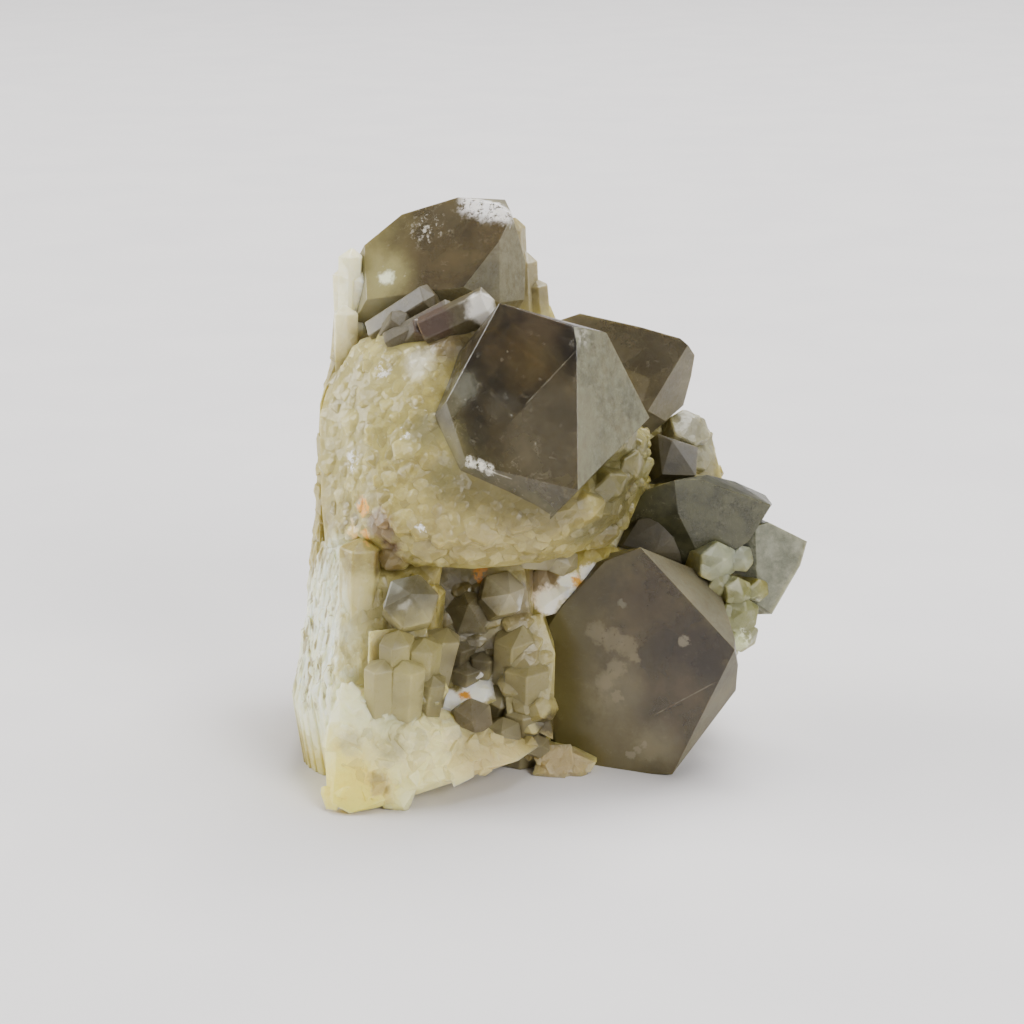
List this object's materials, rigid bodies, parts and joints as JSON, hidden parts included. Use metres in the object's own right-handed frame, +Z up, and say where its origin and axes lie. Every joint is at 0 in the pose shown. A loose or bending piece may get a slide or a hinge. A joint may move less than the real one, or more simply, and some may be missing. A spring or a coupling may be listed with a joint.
{
  "type": "pineapple quartz cluster",
  "caption": "Natural cluster of smoky quartz crystals standing out of pale mantles of small parallel crystals on a broken cream foot.",
  "frame": {"origin": "on the ground under the middle of the cluster's bounding box", "axes": "+Z up as the specimen is displayed, -Y towards the viewer of the display side, +X to the viewer's right"},
  "size_m": [0.046, 0.0407, 0.049],
  "materials": {
    "quartz_rock": "smoky clear tips, frosted druse and broken cream rock"
  },
  "bodies": {
    "root": {"quartz_cluster": "quartz_rock"}
  },
  "joints": []
}
